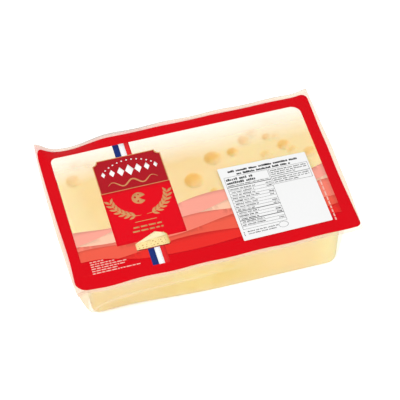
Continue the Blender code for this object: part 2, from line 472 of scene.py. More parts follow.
cheese = add_cheese()
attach(cheese, "root")
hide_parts("wrapped_block")


# The formed film. Real: a clear plastic web, drawn warm into a tray and sucked down on the
# block. Its flange is sealed to the printed film. Spare film stands in webs at the corners,
# and its walls keep soft folds where it gathered.
WEB_REACH = {(1, 1): 0.40, (-1, 1): 0.10, (-1, -1): 0.95, (1, -1): 0.25}
WEB_RISE = 0.7
FLANGE_DROP = 0.00095
FORMED_FILM = 0.00025
WALL_RINGS = 16
FLANGE_RINGS = 12
FOLD_HEIGHT, FOLD_WIDTH = 0.0008, 0.0018
MOST_GLOSS = 0.04
PRINT_SIDE, PRINT_FRONT, PRINT_BACK = 0.0838, 0.0528, 0.0512


def pack_edge(x, y, angle, in_corner):
    """Point of the pack's edge that a point of the block's outline runs out to."""
    if not in_corner:
        if abs(y) > abs(BLOCK_WIDTH / 2 - 0.002):
            return x, math.copysign(PACK_WIDTH / 2, y)
        across = y / (PACK_WIDTH / 2)
        return math.copysign(PACK_LENGTH / 2 - END_BOW * across * across, x), y
    turn = math.degrees(math.atan2(abs(math.sin(angle)), abs(math.cos(angle))))
    straight_x = BLOCK_LENGTH / 2 - CORNER_ROUND
    straight_y = BLOCK_WIDTH / 2 - CORNER_ROUND
    corner_x, corner_y = pack_corner(math.copysign(1, x), math.copysign(1, y))
    if turn <= 45:
        out_y = straight_y + (abs(corner_y) - straight_y) * turn / 45
        across = out_y / (PACK_WIDTH / 2)
        return math.copysign(PACK_LENGTH / 2 - END_BOW * across * across, x), math.copysign(out_y, y)
    out_x = straight_x + (abs(corner_x) - straight_x) * (90 - turn) / 45
    return math.copysign(out_x, x), corner_y


def front_fold(x):
    """Level of the long fold in the front wall, which climbs out of the corner web and up to the right."""
    return 0.0206 + 0.0367 * x - 0.0085 * math.exp(-(x + BLOCK_LENGTH / 2) / 0.009)


def fold_crest(x, level):
    """Share of the long fold's height at a level of the front wall: 1 on its crest."""
    return math.exp(-(((level - front_fold(x)) / FOLD_WIDTH) ** 2))


def wall_stand(x, y, level):
    """How far the film stands off the block: a fold along the front wall and soft hollows elsewhere."""
    up = ease(level / 0.008) * ease((0.0345 - level) / 0.006)
    soft = 0.00022 * (1.0 + noise.noise(Vector((x * 45, y * 45, level * 110))))
    if y < -BLOCK_WIDTH / 2 + CORNER_ROUND:
        along = ease((x + BLOCK_LENGTH / 2) / 0.006) * ease((0.045 - x) / 0.06)
        return up * (soft + FOLD_HEIGHT * along * fold_crest(x, level))
    crease = 0.00025 * max(0.0, noise.noise(Vector((x * 30, y * 30, level * 300 + 7))))
    return up * (soft + crease)


def web_ring(inset, level, web):
    """One ring of the formed film, with the webs that stand at the block's corners."""
    ring = []
    for x, y, angle, in_corner in block_outline(inset):
        stand = wall_stand(x, y, level)
        x, y, z = worn(x, y, level, angle, inset)
        x += math.cos(angle) * stand
        y += math.sin(angle) * stand
        if in_corner:
            side_x, side_y = math.copysign(1, x), math.copysign(1, y)
            swept = math.atan2(abs(math.sin(angle)), abs(math.cos(angle))) / (math.pi / 2)
            pull = web * WEB_REACH[side_x, side_y] * math.sin(math.pi * swept) ** 3
            corner_x, corner_y = pack_corner(side_x, side_y)
            x += pull * (corner_x - x)
            y += pull * (corner_y - y)
        ring.append((x, y, z + slack(x, y, z)))
    return ring


def formed_rings():
    """Rings of the formed film, from the middle of its base up its walls and out to the pack's edge."""
    top = SHEET_TOP - FLANGE_DROP
    rings = []
    for step in range(ARC_STEPS + 1):
        angle = step / ARC_STEPS * math.pi / 2
        inset = WALL_DRAFT + BASE_ROUND * (1.0 - math.sin(angle))
        rings.append(web_ring(inset, BASE_ROUND * (1.0 - math.cos(angle)), 0.0))
    shoulder = top - FLARE
    for step in range(1, WALL_RINGS + 1):
        up = step / WALL_RINGS
        level = BASE_ROUND + (shoulder - BASE_ROUND) * up
        rings.append(web_ring(WALL_DRAFT * (1.0 - up), level, (level / top) ** WEB_RISE))
    for step in range(1, ARC_STEPS + 1):
        angle = step / ARC_STEPS * math.pi / 2
        rings.append(web_ring(-FLARE * (1.0 - math.cos(angle)), shoulder + FLARE * math.sin(angle), 1.0))
    edge = [pack_edge(*point) for point in block_outline(0.0)]
    body = rings[-1]
    for step in range(1, FLANGE_RINGS + 1):
        out = step / FLANGE_RINGS
        ring = []
        for (body_x, body_y, _), (edge_x, edge_y) in zip(body, edge):
            x = body_x + (edge_x - body_x) * out
            y = body_y + (edge_y - body_y) * out
            ring.append((x, y, sheet_level(x, y) - FLANGE_DROP))
        rings.append(ring)
    return rings


def clear_film_finish(name, cream, glow_pink, shade_grey):
    """Clear plastic film: see-through, with a thin gloss, milky and tinted as its attributes say, which also
    carry a painted highlight, a painted red glow and a painted grey shade.
    """
    made, nodes, links, shader = new_finish(name)
    nodes.remove(shader)
    clear = nodes.new("ShaderNodeBsdfTransparent")
    gloss = nodes.new("ShaderNodeBsdfGlossy")
    gloss.inputs["Roughness"].default_value = 0.12
    edge = nodes.new("ShaderNodeFresnel")
    edge.inputs["IOR"].default_value = 1.2
    roughen(nodes, links, object_noise(nodes, links, 90.0, 1.0), 0.2, 0.0002, [gloss, edge])
    capped = nodes.new("ShaderNodeMath")
    capped.operation = "MINIMUM"
    capped.inputs[1].default_value = MOST_GLOSS
    links.new(edge.outputs["Fac"], capped.inputs[0])
    sheen = nodes.new("ShaderNodeMixShader")
    links.new(capped.outputs["Value"], sheen.inputs["Fac"])
    links.new(clear.outputs["BSDF"], sheen.inputs[1])
    links.new(gloss.outputs["BSDF"], sheen.inputs[2])
    veil = nodes.new("ShaderNodeBsdfDiffuse")
    share = {}
    for attribute in ("haze", "blush", "rim"):
        share[attribute] = nodes.new("ShaderNodeAttribute")
        share[attribute].attribute_name = attribute
    # The pink is a painted red glow that the printed border casts into the film
    tint = blended(nodes, links, share["blush"].outputs["Fac"], cream, glow_pink)
    # The grey is painted shade at the film's cut edge along the back
    links.new(blended(nodes, links, share["rim"].outputs["Fac"], tint, shade_grey), veil.inputs["Color"])
    streak = object_noise(nodes, links, 60.0, 2.0, (0.35, 0.35, 2.0))
    streak = spread(nodes, links, streak, 0.3, 0.7, 0.85, 1.0)
    amount = nodes.new("ShaderNodeMath")
    amount.operation = "MULTIPLY"
    links.new(share["haze"].outputs["Fac"], amount.inputs[0])
    links.new(streak, amount.inputs[1])
    milky = nodes.new("ShaderNodeMixShader")
    links.new(amount.outputs["Value"], milky.inputs["Fac"])
    links.new(sheen.outputs["Shader"], milky.inputs[1])
    links.new(veil.outputs["BSDF"], milky.inputs[2])
    links.new(milky.outputs["Shader"], nodes["Material Output"].inputs["Surface"])
    return made


def formed_haze_and_highlight(x, y, level):
    """Share of milkiness of the formed film: high in the flange, webs and slack above the fold, with a
    painted highlight along the fold's crest.
    """
    outside = max(abs(x) - BLOCK_LENGTH / 2, abs(y) - BLOCK_WIDTH / 2)
    off_block = 0.55 * ease((outside - 0.0005) / 0.003)
    if y < -BLOCK_WIDTH / 2 + 0.002:
        above = ease((level - front_fold(x) + 0.0025) / 0.0025)
        along = ease((0.03 - x) / 0.06)
        thin = 1.0 - 0.6 * ease((x - 0.050) / 0.020)
        # On the front wall the fold's crest gets a painted highlight
        return max(0.02 + (0.03 * above + 0.20 * fold_crest(x, level)) * along, off_block * thin)
    return max(0.05, off_block)


def formed_red_glow(x, y, level):
    """Share of painted red glow that the printed border casts into the clear film: most beside the border,
    and little at the front.
    """
    high = ease((level - 0.0320) / 0.004)
    from_print = max(abs(x) - PRINT_SIDE, y - PRINT_BACK, -y - PRINT_FRONT - 0.0007)
    wider = 0.0026 * ease((0.03 - x) / 0.06) if y > BLOCK_WIDTH / 2 else 0.0
    near = 1.0 - ease((from_print - 0.0003) / (0.0018 + wider))
    if y < -BLOCK_WIDTH / 2:
        return high * near * 0.4 * ease((0.084 - x) / 0.02)
    return high * (0.25 + 0.75 * near) * (0.35 + 0.65 * ease((0.074 - x) / 0.02))


def formed_edge_shade(x, y, level):
    """Share of painted grey shade at the film's cut edge along the back, where the slack film lies in shade;
    widest beside its dip.
    """
    width = 0.0005 + 0.0018 * math.exp(-(((x + 0.036) / 0.022) ** 2))
    return 0.9 * (1.0 - ease((PACK_WIDTH / 2 - y) / width))


def add_formed_film():
    """Make the formed film as a thin closed skin."""
    shape = bmesh.new()
    loft(shape, formed_rings(), False)
    bmesh.ops.recalc_face_normals(shape, faces=shape.faces)
    lowest = min(shape.faces, key=lambda face: face.calc_center_median().z)
    if lowest.normal.z > 0:
        bmesh.ops.reverse_faces(shape, faces=shape.faces)
    for name, share in [("haze", formed_haze_and_highlight), ("blush", formed_red_glow), ("rim", formed_edge_shade)]:
        layer = shape.verts.layers.float.new(name)
        for point in shape.verts:
            point[layer] = share(*point.co)
    # Cream milkiness, pink painted glow of the red border and grey painted shade at the back edge
    cream, glow_pink, shade_grey = linear(246, 226, 194), linear(230, 166, 154), linear(166, 157, 153)
    finish = clear_film_finish("formed_clear", cream, glow_pink, shade_grey)
    film = to_object("formed_film", shape, finish)
    wall = film.modifiers.new("film", "SOLIDIFY")
    wall.thickness = FORMED_FILM
    wall.offset = -1.0
    return settle(film)


# So thin a film takes next to no light from the cheese, so it casts no shade here
formed_film = add_formed_film()
formed_film.visible_shadow = False
formed_film.visible_diffuse = False
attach(formed_film, "root")
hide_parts("wrapped_block")


# The inks of the printed film. Real: a clear web printed on its inner face with flat spot
# colours. Each ink is a skin a few hundredths of a millimetre thick, laid to the slack of the
# film, and each lies a little deeper than the one that was printed before it.
INK = 0.00001
INK_STEP = 0.000015
FIRST_INK = 0.00012
DETAIL, ORNAMENT, PANEL, RIBBON_LAYER, BORDER_LAYER = range(5)


def inside(x, y, loops):
    """Say whether a point lies inside the outlines, counting an outline within another as a hole."""
    crossings = 0
    for loop in loops:
        for (x0, y0), (x1, y1) in zip(loop, loop[1:] + loop[:1]):
            if (y0 > y) != (y1 > y) and x < x0 + (x1 - x0) * (y - y0) / (y1 - y0):
                crossings += 1
    return crossings % 2 == 1


def inside_any(x, y, loops):
    """Say whether a point lies inside at least one of the outlines, so that they join."""
    return any(inside(x, y, [loop]) for loop in loops)


def stepped(loop, spacing):
    """Add points to an outline, so that no step is longer than the spacing."""
    points = []
    for (x0, y0), (x1, y1) in zip(loop, loop[1:] + loop[:1]):
        count = max(1, math.ceil(math.hypot(x1 - x0, y1 - y0) / spacing))
        points += [(x0 + (x1 - x0) * at / count, y0 + (y1 - y0) * at / count) for at in range(count)]
    return points


def lay_ink(name, loops, layer, finish, spacing=0.004, covers=inside):
    """Lay one ink on the film, in the shape of the outlines, as a thin closed skin.

    In a real pack the inks touch the cheese, so here they cast no shade on it."""
    loops = [stepped(loop, spacing) for loop in loops]
    points, edges = [], []
    for loop in loops:
        first = len(points)
        points += [Vector(point) for point in loop]
        edges += [(first + at, first + (at + 1) % len(loop)) for at in range(len(loop))]
    low_x, high_x = min(p.x for p in points), max(p.x for p in points)
    low_y, high_y = min(p.y for p in points), max(p.y for p in points)
    for column in range(1, int((high_x - low_x) / spacing) + 1):
        for row in range(1, int((high_y - low_y) / spacing) + 1):
            x, y = low_x + column * spacing, low_y + row * spacing
            if covers(x, y, loops):
                points.append(Vector((x, y)))
    verts, _, faces, _, _, _ = delaunay_2d_cdt(points, edges, [], 0, 1e-7)
    drop = FIRST_INK + layer * INK_STEP
    shape = bmesh.new()
    laid = [shape.verts.new((v.x, v.y, sheet_level(v.x, v.y) - drop)) for v in verts]
    for face in faces:
        middle = sum((verts[at] for at in face), Vector((0, 0))) / len(face)
        if covers(middle.x, middle.y, loops):
            shape.faces.new([laid[at] for at in face])
    bmesh.ops.delete(shape, geom=[v for v in shape.verts if not v.link_faces], context="VERTS")
    ink = to_object(name, shape, finish)
    skin = ink.modifiers.new("ink", "SOLIDIFY")
    skin.thickness = INK
    skin.offset = -1.0
    settle(ink)
    ink.visible_shadow = False
    ink.visible_diffuse = False
    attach(ink, "root")
    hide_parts("printed_film")
    return ink


def printing_ink(name, colour, depth=0.93):
    """Spot colour as gravure lays it: flat, with faint clouding and the finest grain."""
    made, nodes, links, shader = new_finish(name)
    cloud = mottle(nodes, links, 35.0, 3.0)
    grain = mottle(nodes, links, 2500.0, 1.0)
    tone = linear(*colour)
    deeper = tuple(part * depth for part in tone[:3]) + (1.0,)
    shade = blended(nodes, links, cloud, deeper, tone)
    shade = blended(nodes, links, grain, shade, tone)
    links.new(shade, shader.inputs["Base Color"])
    links.new(spread(nodes, links, cloud, 0.0, 1.0, 0.45, 0.6), shader.inputs["Roughness"])
    shader.inputs["Specular IOR Level"].default_value = 0.05
    return made


def rounded_outline(low_x, low_y, high_x, high_y, radii):
    """Outline of a box with rounded corners, from its back right corner round to its front right."""
    corners = [(high_x, high_y), (low_x, high_y), (low_x, low_y), (high_x, low_y)]
    points = []
    for quarter, ((x, y), radius) in enumerate(zip(corners, radii)):
        side_x, side_y = QUARTERS[quarter]
        for step in range(9):
            angle = (quarter + step / 8) * math.pi / 2
            points.append((x + radius * (math.cos(angle) - side_x), y + radius * (math.sin(angle) - side_y)))
    return points


# The red border, which frames a clear window over the cheese. Its left side stands out at the back
# and at the front corner, its right side flares at the front, and its front edge rolls a little.
RED = (216, 0, 18)
BORDER_BOW = 0.0008
BORDER_HOOK = 0.0006
BORDER_FLARE = 0.0010
BORDER_ROLL = 0.0004


def border_outline():
    """Outline of the border, round at its corners, with its two ends drawn outwards."""
    radii = (0.0045, 0.0030, 0.0060, 0.0030)
    plain = rounded_outline(-PRINT_SIDE, -PRINT_FRONT, PRINT_SIDE, PRINT_BACK, radii)
    drawn = []
    for x, y in stepped(plain, 0.003):
        if y < -0.050:
            y += BORDER_ROLL * (ease((x - 0.050) / 0.020) - math.exp(-(((x + 0.030) / 0.035) ** 2)))
        if x < 0.0:
            bow = BORDER_BOW * ease((y + 0.035) / 0.050) * ease((0.052 - y) / 0.007)
            hook = BORDER_HOOK * math.exp(-(((y + 0.047) / 0.008) ** 2))
            x -= (bow + hook) * ease(-x / 0.08)
        else:
            x += BORDER_FLARE * ease((-y - 0.020) / 0.030) * ease(x / 0.08)
        drawn.append((x, y))
    return drawn


WINDOW_LEFT, WINDOW_RIGHT = -0.0777, 0.0768
WINDOW_FRONT, WINDOW_BACK = -0.0440, 0.0442
WINDOW_STEPS = 60


def window_front(x):
    """Place along Y of the window's front edge, which rolls like the bands printed behind it."""
    rise = 0.0045 * ease((-0.040 - x) / 0.030)
    return -0.0405 + 0.0018 * math.sin(2 * math.pi * (x - 0.020) / 0.130) + rise


def window_outline():
    """Outline of the window: round at the back, with a rolling front edge."""
    radii = (0.006, 0.0035, 0.001, 0.001)
    points = rounded_outline(WINDOW_LEFT, WINDOW_FRONT, WINDOW_RIGHT, WINDOW_BACK, radii)
    points = [point for point in points if point[1] > 0.0]
    for step in range(WINDOW_STEPS + 1):
        x = WINDOW_LEFT + (WINDOW_RIGHT - WINDOW_LEFT) * step / WINDOW_STEPS
        points.append((x, window_front(x)))
    return points


spot_red = printing_ink("spot_red", RED)
lay_ink("print_border", [border_outline(), window_outline()], BORDER_LAYER, spot_red, spacing=0.002)


# Flowing bands across the front of the window, from salmon at the back to near the border's red
WAVES = [
    ("salmon", (247, 164, 146), -0.0085, 0.075, 0.0030, 0.095, -0.020),
    ("peach", (250, 199, 169), -0.0150, 0.060, 0.0026, 0.070, 0.010),
    ("rose", (243, 128, 108), -0.0200, 0.050, 0.0026, 0.085, -0.030),
    ("coral", (235, 93, 72), -0.0265, 0.030, 0.0026, 0.100, 0.000),
    ("vermilion", (231, 45, 39), -0.0345, 0.010, 0.0024, 0.110, -0.040),
]
BAND_ENDS = (-0.0784, 0.0772)


def wave_level(wave, x):
    """Place along Y of a band's back edge, at a place along X."""
    _, _, level, slope, height, length, start = wave
    return level + slope * x + height * math.sin(2 * math.pi * (x - start) / length)


def add_bands():
    """Print the flowing bands, each running on under the next to the front border."""
    count = 60
    across = [BAND_ENDS[0] + (BAND_ENDS[1] - BAND_ENDS[0]) * at / count for at in range(count + 1)]
    for number, wave in enumerate(WAVES):
        back = [(x, wave_level(wave, x)) for x in across]
        front = [(BAND_ENDS[1], WINDOW_FRONT), (BAND_ENDS[0], WINDOW_FRONT)]
        layer = BORDER_LAYER + len(WAVES) - number
        lay_ink("print_band_" + wave[0], [back + front], layer, printing_ink(wave[0] + "_ink", wave[1]))


add_bands()


# White that fades out over the cheese from the window's back edge
def fading_white():
    """White ink that thins out, from solid along the window's back edge to nothing over the cheese."""
    made, nodes, links, shader = new_finish("fading_white")
    shader.inputs["Base Color"].default_value = linear(255, 252, 246)
    wander = nodes.new("ShaderNodeMath")
    wander.operation = "MULTIPLY_ADD"
    wander.inputs[1].default_value = 0.006
    links.new(object_noise(nodes, links, 14.0, 1.0), wander.inputs[0])
    links.new(object_axis(nodes, links, "Y"), wander.inputs[2])
    bare = spread(nodes, links, wander.outputs["Value"], FADE_END, FADE_START, 1.0, 0.1, "LINEAR")
    each_face = nodes.new("ShaderNodeMath")
    each_face.operation = "SQRT"
    links.new(bare, each_face.inputs[0])
    cover = nodes.new("ShaderNodeMath")
    cover.operation = "SUBTRACT"
    cover.inputs[0].default_value = 1.0
    links.new(each_face.outputs["Value"], cover.inputs[1])
    links.new(cover.outputs["Value"], shader.inputs["Alpha"])
    shader.inputs["Roughness"].default_value = 0.5
    shader.inputs["Specular IOR Level"].default_value = 0.1
    return made


FADE_START = 0.0485
FADE_END = 0.0235
FADED = rounded_outline(-0.0780, 0.0180, 0.0771, 0.0445, (0.006, 0.0035, 0.0005, 0.0005))
lay_ink("print_fade", [FADED], BORDER_LAYER + len(WAVES), fading_white(), spacing=0.002)


# The ribbon of three colours, which runs in behind the plaque from the window's back edge and
# comes out below it
RIBBON = [
    ("blue", (30, 50, 122), 0.0037), ("white", (246, 246, 246), 0.0034), ("red", (226, 40, 44), 0.0030),
]
RIBBON_RUNS = [("back", -0.0398, 0.0320, 0.0443), ("front", -0.0386, -0.0470, -0.0330)]
for colour_name, colour, width in RIBBON:
    ribbon_ink = printing_ink("ribbon_" + colour_name, colour)
    for run, start, near, far in RIBBON_RUNS:
        edge = start + sum(w for n, _, w in RIBBON[:[r[0] for r in RIBBON].index(colour_name)])
        stripe = [(edge, near), (edge + width, near), (edge + width, far), (edge, far)]
        lay_ink(f"print_ribbon_{run}_{colour_name}", [stripe], RIBBON_LAYER, ribbon_ink)


# The plaque, with a dark upper field, a bright lower one and thin gold edges
PLAQUE_LEFT, PLAQUE_RIGHT = -0.0550, -0.0135
PLAQUE_FRONT, PLAQUE_DIVIDE, PLAQUE_BACK = -0.0286, 0.0099, 0.0348
NOTCH = 0.0030
GOLD_LINE = 0.0005


def notched_outline(low_x, low_y, high_x, high_y, notch):
    """Outline of a plate whose two back corners are cut out in quarter circles."""
    points = [(low_x, low_y), (high_x, low_y)]
    for step in range(9):
        angle = -math.pi / 2 - step / 8 * math.pi / 2
        points.append((high_x + notch * math.cos(angle), high_y + notch * math.sin(angle)))
    for step in range(9):
        angle = -step / 8 * math.pi / 2
        points.append((low_x + notch * math.cos(angle), high_y + notch * math.sin(angle)))
    return points


def add_plaque():
    """Print the plaque's two fields, its gold edge and its divider."""
    upper = notched_outline(PLAQUE_LEFT, PLAQUE_DIVIDE, PLAQUE_RIGHT, PLAQUE_BACK, NOTCH)
    lower = [(PLAQUE_LEFT, PLAQUE_FRONT), (PLAQUE_RIGHT, PLAQUE_FRONT),
             (PLAQUE_RIGHT, PLAQUE_DIVIDE), (PLAQUE_LEFT, PLAQUE_DIVIDE)]
    lay_ink("print_plaque_dark", [upper], PANEL, printing_ink("plaque_dark_ink", (174, 22, 34)))
    lay_ink("print_plaque_bright", [lower], PANEL, printing_ink("plaque_bright_ink", (225, 2, 24)))
    inner = notched_outline(PLAQUE_LEFT + GOLD_LINE, PLAQUE_DIVIDE + GOLD_LINE,
                            PLAQUE_RIGHT - GOLD_LINE, PLAQUE_BACK - GOLD_LINE, NOTCH)
    gold = printing_ink("gold_ink", (214, 150, 98), 0.85)
    lay_ink("print_plaque_edge", [upper, inner], ORNAMENT, gold)
    return gold


gold_ink = add_plaque()


def box_outline(low_x, low_y, high_x, high_y):
    """Outline of an upright box."""
    return [(high_x, low_y), (high_x, high_y), (low_x, high_y), (low_x, low_y)]


def bar_row(start, stop, level, height, draw):
    """Outlines of a row of plain bars with gaps between them."""
    bars = []
    while start < stop - height:
        length = min(height * draw.uniform(1.2, 4.5), stop - start)
        bars.append(box_outline(start, level - height / 2, start + length, level + height / 2))
        start += length + height * 0.7
    return bars


def cut_wheel(x, y, radius):
    """Outline of a round cheese seen from above, with a slice taken out of it."""
    points = [(x, y)]
    for step in range(33):
        angle = math.radians(18 + (360 - 54) * step / 32)
        points.append((x + radius * math.cos(angle), y + radius * math.sin(angle)))
    return points


def lozenge(x, y, half_width, half_height):
    """Outline of a diamond."""
    return [(x + half_width, y), (x, y + half_height), (x - half_width, y), (x, y - half_height)]


def leaf(x, y, angle, length, width):
    """Outline of a pointed leaf that springs from a point at an angle."""
    points = []
    for side in (1, -1):
        for step in range(6):
            share = step / 6 if side == 1 else 1 - step / 6
            out, off = share * length, side * width / 2 * math.sin(math.pi * share)
            points.append((x + out * math.cos(angle) - off * math.sin(angle),
                           y + out * math.sin(angle) + off * math.cos(angle)))
    return points


def tapered_line(place, count, width):
    """Outline of a line that follows a path, full in its middle and fine at its ends."""
    left, right = [], []
    for at in range(count + 1):
        share = at / count
        x, y = place(share)
        ahead_x, ahead_y = place(share + 0.001)
        length = math.hypot(ahead_x - x, ahead_y - y)
        half = width / 2 * (0.2 + 0.8 * math.sin(math.pi * share))
        off_x, off_y = -(ahead_y - y) / length * half, (ahead_x - x) / length * half
        left.append((x + off_x, y + off_y))
        right.append((x - off_x, y - off_y))
    return left + right[::-1]


# Ornament on the plaque: a row of white lozenges under an arc of dots, a gold scroll, two gold
# sprigs round a cut wheel, and a short rule with two rows of plain bars under it
PLAQUE_MIDDLE = (PLAQUE_LEFT + PLAQUE_RIGHT) / 2


def add_ornament(gold):
    """Print the plaque's ornament in white and gold."""
    white = printing_ink("white_ink", (255, 253, 250))
    shapes = []
    for number in range(-3, 4):
        size = 0.0042 - 0.0007 * abs(number)
        shapes.append(lozenge(PLAQUE_MIDDLE + number * 0.0053, 0.0238, size * 0.62, size))
    for number in range(-5, 6):
        angle = math.radians(90 + number * 7.5)
        x, y = PLAQUE_MIDDLE + 0.023 * math.cos(angle), 0.0085 + 0.023 * math.sin(angle)
        shapes.append(lozenge(x, y, 0.0006, 0.0006))
    lay_ink("print_ornament_white", shapes, ORNAMENT, white)

    def scroll(share):
        return (PLAQUE_MIDDLE + 0.030 * (share - 0.5),
                0.0150 + 0.0019 * math.sin(2 * math.pi * 2.5 * share))
    shapes = [tapered_line(scroll, 60, 0.0011)]
    for side in (1, -1):
        def stem(share, side=side):
            return (PLAQUE_MIDDLE + side * (0.0015 + 0.0160 * math.sin(1.35 * share)),
                    -0.0105 + 0.0165 * (1.0 - math.cos(1.35 * share)))
        shapes.append(tapered_line(stem, 20, 0.0008))
        for number in range(7):
            share = 0.16 + 0.135 * number
            x, y = stem(share)
            ahead_x, ahead_y = stem(share + 0.01)
            along = math.atan2(ahead_y - y, ahead_x - x)
            for lean in (0.65, -0.65):
                shapes.append(leaf(x, y, along + lean, 0.0046, 0.0017))
    shapes.append(box_outline(PLAQUE_MIDDLE - 0.0065, -0.0150, PLAQUE_MIDDLE + 0.0065, -0.0145))
    shapes += bar_row(PLAQUE_MIDDLE - 0.0085, PLAQUE_MIDDLE + 0.0085, -0.0185, 0.0011, random.Random(5))
    shapes += bar_row(PLAQUE_MIDDLE - 0.0095, PLAQUE_MIDDLE + 0.0095, -0.0213, 0.0011, random.Random(6))
    wheel = cut_wheel(PLAQUE_MIDDLE, 0.0020, 0.0042)
    lay_ink("print_wheel_gold", [wheel], ORNAMENT, gold)
    holes = []
    for u, v, size in [(-0.0021, 0.0010, 0.0007), (-0.0008, -0.0022, 0.0006), (0.0002, 0.0025, 0.0005)]:
        x, y = PLAQUE_MIDDLE + u, 0.0020 + v
        holes.append(rounded_outline(x - size, y - size, x + size, y + size, (size,) * 4))
    lay_ink("print_wheel_eyes", holes, DETAIL, printing_ink("wheel_eye_ink", (200, 30, 30)))
    lay_ink("print_ornament_gold", shapes, ORNAMENT, gold, covers=inside_any)


add_ornament(gold_ink)


# The small picture of a wedge, which overlaps the plaque's front edge, in flat tones with eyes
PICTURE_CENTRE = (-0.0347, -0.0293)


def add_picture():
    """Print the wedge: a shade under it, its cut face, its upper face, its rind and its eyes."""
    middle_x, middle_y = PICTURE_CENTRE

    def placed(points):
        return [(middle_x + u / 1000, middle_y + v / 1000) for u, v in points]
    face = placed([(-10.0, -5.2), (9.2, -5.2), (9.2, 1.6), (-10.0, -0.6)])
    upper = placed([(-10.0, -0.6), (9.2, 1.6), (7.6, 3.6), (3.0, 5.4)])
    rind = placed([(9.2, -5.2), (10.0, -4.0), (9.6, 2.0), (7.9, 4.0), (7.6, 3.6), (9.2, 1.6)])
    shade = placed([(-10.2, -5.7), (9.4, -5.7), (10.4, -4.4), (9.0, -5.0), (-10.0, -5.0)])
    lay_ink("print_picture_shade", [shade], ORNAMENT, printing_ink("picture_shade_ink", (150, 12, 22)))
    lay_ink("print_picture_face", [face], ORNAMENT, printing_ink("picture_face_ink", (250, 224, 158)))
    lay_ink("print_picture_upper", [upper], ORNAMENT, printing_ink("picture_upper_ink", (252, 236, 188)))
    lay_ink("print_picture_rind", [rind], ORNAMENT, printing_ink("picture_rind_ink", (226, 176, 96)))
    draw = random.Random(11)
    eyes = []
    for row in range(3):
        for column in range(8):
            u = -8.2 + 2.3 * column + draw.uniform(-0.7, 0.7)
            v = -4.0 + 1.6 * row + draw.uniform(-0.4, 0.4)
            half = draw.uniform(0.16, 0.36)
            if v + half < -0.9 + 0.11 * (u + 10):
                x, y = middle_x + u / 1000, middle_y + v / 1000
                eyes.append(rounded_outline(x - half * 0.0013, y - half * 0.0009,
                                            x + half * 0.0013, y + half * 0.0009, (half * 0.0008,) * 4))
    eye_ink = printing_ink("picture_eye_ink", (196, 150, 88))
    lay_ink("print_picture_eyes", eyes, DETAIL, eye_ink, covers=inside_any)


add_picture()


# Plain pale bars on the red: rows at the front left and one up the right
def add_small_bars():
    """Print the rows of pale bars on the red."""
    draw = random.Random(3)
    rows = [(0.0080, 0), (0.0140, 1), (0.0210, 2), (0.0205, 3), (0.0150, 4), (0.0290, 5)]
    bars = []
    for length, row in rows:
        bars += bar_row(-0.0730, -0.0730 + length, -0.0356 - 0.0016 * row, 0.0007, draw)
    upright = bar_row(-0.0445, -0.0137, 0.0719, 0.0009, draw)
    bars += [[(y, x) for x, y in reversed(bar)] for bar in upright]
    bar_ink = printing_ink("small_bar_ink", (250, 190, 176))
    lay_ink("print_small_bars", bars, DETAIL, bar_ink, covers=inside_any)


add_small_bars()


# The clear face of the printed film. Real: the web that carries the inks, glossy and a touch
# wavy, reaching past the print to the pack's edge, where the two films are sealed together.
CARRIER_FILM = 0.00010
SHEET_CELLS = (120, 76)


def add_carrier_film():
    """Make the clear film over the inks as a thin closed sheet."""
    shape = bmesh.new()
    bmesh.ops.create_grid(shape, x_segments=SHEET_CELLS[0], y_segments=SHEET_CELLS[1], size=1.0)
    for point in shape.verts:
        along, across = (part * (1.5 - 0.5 * part * part) for part in point.co.xy)
        point.co.x = along * (PACK_LENGTH / 2 - END_BOW * across * across)
        point.co.y = across * PACK_WIDTH / 2
        point.co.z = sheet_level(point.co.x, point.co.y)
    white = linear(255, 250, 246)
    finish = clear_film_finish("carrier_clear", white, white, white)
    film = to_object("carrier_film", shape, finish)
    skin = film.modifiers.new("film", "SOLIDIFY")
    skin.thickness = CARRIER_FILM
    skin.offset = -1.0
    return settle(film)


carrier_film = add_carrier_film()
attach(carrier_film, "root")
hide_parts("printed_film")


# The paper label. Real: a nearly square piece of white coated paper with its own glue, cut and
# put on a little askew, with a ruled panel in black.
LABEL_LENGTH = 0.0537
LABEL_WIDTH = 0.0533
LABEL_CORNER = 0.0005
LABEL_CENTRE = (0.0427, -0.0179)
LABEL_TURN = math.radians(0.65)
LABEL_SKEW = 0.035
LABEL_BASE = 0.0001
LABEL_FACE = 0.00045


def on_label(u, v):
    """Turn a place on the label, from its middle, into a place on the pack."""
    v -= LABEL_SKEW * u * (v / LABEL_WIDTH + 0.5)
    return (LABEL_CENTRE[0] + u * math.cos(LABEL_TURN) - v * math.sin(LABEL_TURN),
            LABEL_CENTRE[1] + u * math.sin(LABEL_TURN) + v * math.cos(LABEL_TURN))


def paper_finish():
    """White coated paper, with a faint fibre and a slight grey unevenness."""
    made, nodes, links, shader = new_finish("label_paper")
    fibre = mottle(nodes, links, 1800.0, 4.0)
    cloud = mottle(nodes, links, 30.0, 2.0)
    colour = blended(nodes, links, fibre, linear(229, 229, 229), linear(237, 237, 236))
    colour = blended(nodes, links, cloud, colour, linear(234, 234, 234))
    links.new(colour, shader.inputs["Base Color"])
    shader.inputs["Roughness"].default_value = 0.6
    shader.inputs["Specular IOR Level"].default_value = 0.2
    roughen(nodes, links, fibre, 0.2, 0.00005, [shader])
    return made


def add_label():
    """Make the label as a thin plate with rounded corners."""
    half_u, half_v = LABEL_LENGTH / 2, LABEL_WIDTH / 2
    outline = rounded_outline(-half_u, -half_v, half_u, half_v, (LABEL_CORNER,) * 4)
    rings = [[(*on_label(u, v), SHEET_TOP + level) for u, v in outline]
             for level in (LABEL_BASE, LABEL_FACE)]
    shape = bmesh.new()
    loft(shape, rings, True)
    label = to_object("label_paper", shape, paper_finish())
    label.data.set_sharp_from_angle(angle=math.radians(40))
    return label


label = add_label()
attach(label, "root")
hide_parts("paper_label")


